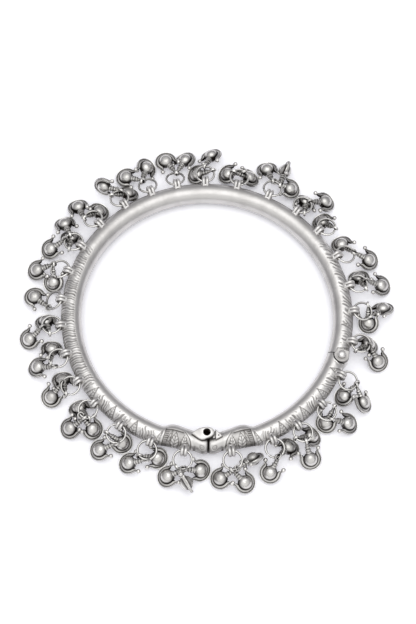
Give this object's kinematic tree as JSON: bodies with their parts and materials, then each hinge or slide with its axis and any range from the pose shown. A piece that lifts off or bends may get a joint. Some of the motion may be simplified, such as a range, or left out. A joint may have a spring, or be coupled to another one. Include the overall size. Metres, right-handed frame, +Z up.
{
  "type": "payal anklet",
  "caption": "Rigid round silver anklet with a hinged gate, a screw clasp with bulbous heads, and clusters of small collared bells on jump rings all round.",
  "frame": {"origin": "centre of the bounding box in plan, on the surface that the anklet lies on", "axes": "+Z up off the surface; the clasp is at -Y and the hinge towards +X"},
  "size_m": [0.1116, 0.1132, 0.0071],
  "materials": {
    "hoop_silver": "worn old silver with dark recesses in the chasing",
    "bell_silver": "old silver, tarnished grey in the recesses"
  },
  "bodies": {
    "hoop": {"main_hoop": "hoop_silver", "hinge_rivet": "hoop_silver", "bells_01": "bell_silver", "bells_02": "bell_silver", "bells_03": "bell_silver", "bells_04": "bell_silver", "bells_05": "bell_silver", "bells_06": "bell_silver", "bells_07": "bell_silver", "bells_08": "bell_silver", "bells_09": "bell_silver", "bells_10": "bell_silver", "bells_16": "bell_silver", "bells_17": "bell_silver", "bells_18": "bell_silver", "bells_19": "bell_silver", "bells_20": "bell_silver", "bells_21": "bell_silver", "bells_22": "bell_silver", "bells_23": "bell_silver", "bells_24": "bell_silver", "bells_25": "bell_silver", "bells_26": "bell_silver", "bells_27": "bell_silver", "bells_28": "bell_silver"},
    "gate": {"gate": "hoop_silver", "bells_11": "bell_silver", "bells_12": "bell_silver", "bells_13": "bell_silver", "bells_14": "bell_silver", "bells_15": "bell_silver"}
  },
  "joints": [
    {"name": "gate_hinge", "type": "hinge", "parent": "hoop", "child": "gate", "pos_m": [0.04047, -0.01086, 0.0031], "axis": [0, 0, 1], "range_deg": [0, 35]}
  ]
}
